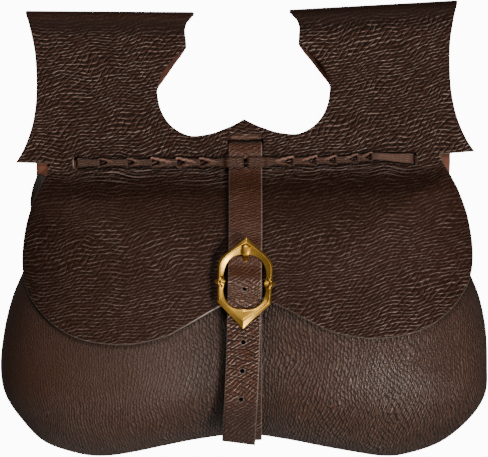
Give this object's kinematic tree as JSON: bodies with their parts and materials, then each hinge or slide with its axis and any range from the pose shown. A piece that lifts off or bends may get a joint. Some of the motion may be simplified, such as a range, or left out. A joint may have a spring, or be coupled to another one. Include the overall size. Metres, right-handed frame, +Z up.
{
  "type": "belt pouch",
  "caption": "Two-lobed leather belt pouch with belt loops, a laced top, a wide flap and a strap closed by a double-loop brass buckle.",
  "frame": {"origin": "middle of the belt's way through the loops, between the loops' two layers", "axes": "+Z up as worn, the front with the flap and buckle faces -Y, +X to the right in the picture, along the belt"},
  "size_m": [0.2626, 0.0652, 0.2459],
  "materials": {
    "hide": "satin pebble grain, dark brown",
    "bag_leather": "satin fine pebble grain, brown",
    "strap_leather": "satin, grained",
    "thong_leather": "satin, with raw edges",
    "brass": "satin, slightly aged"
  },
  "bodies": {
    "root": {"back_and_flap": "hide", "pouch_front": "bag_leather", "lacing_left": "thong_leather", "lacing_right": "thong_leather", "closing_strap": "strap_leather", "buckle_strap": "strap_leather", "buckle_frame": "brass", "buckle_pin": "brass"}
  },
  "joints": []
}
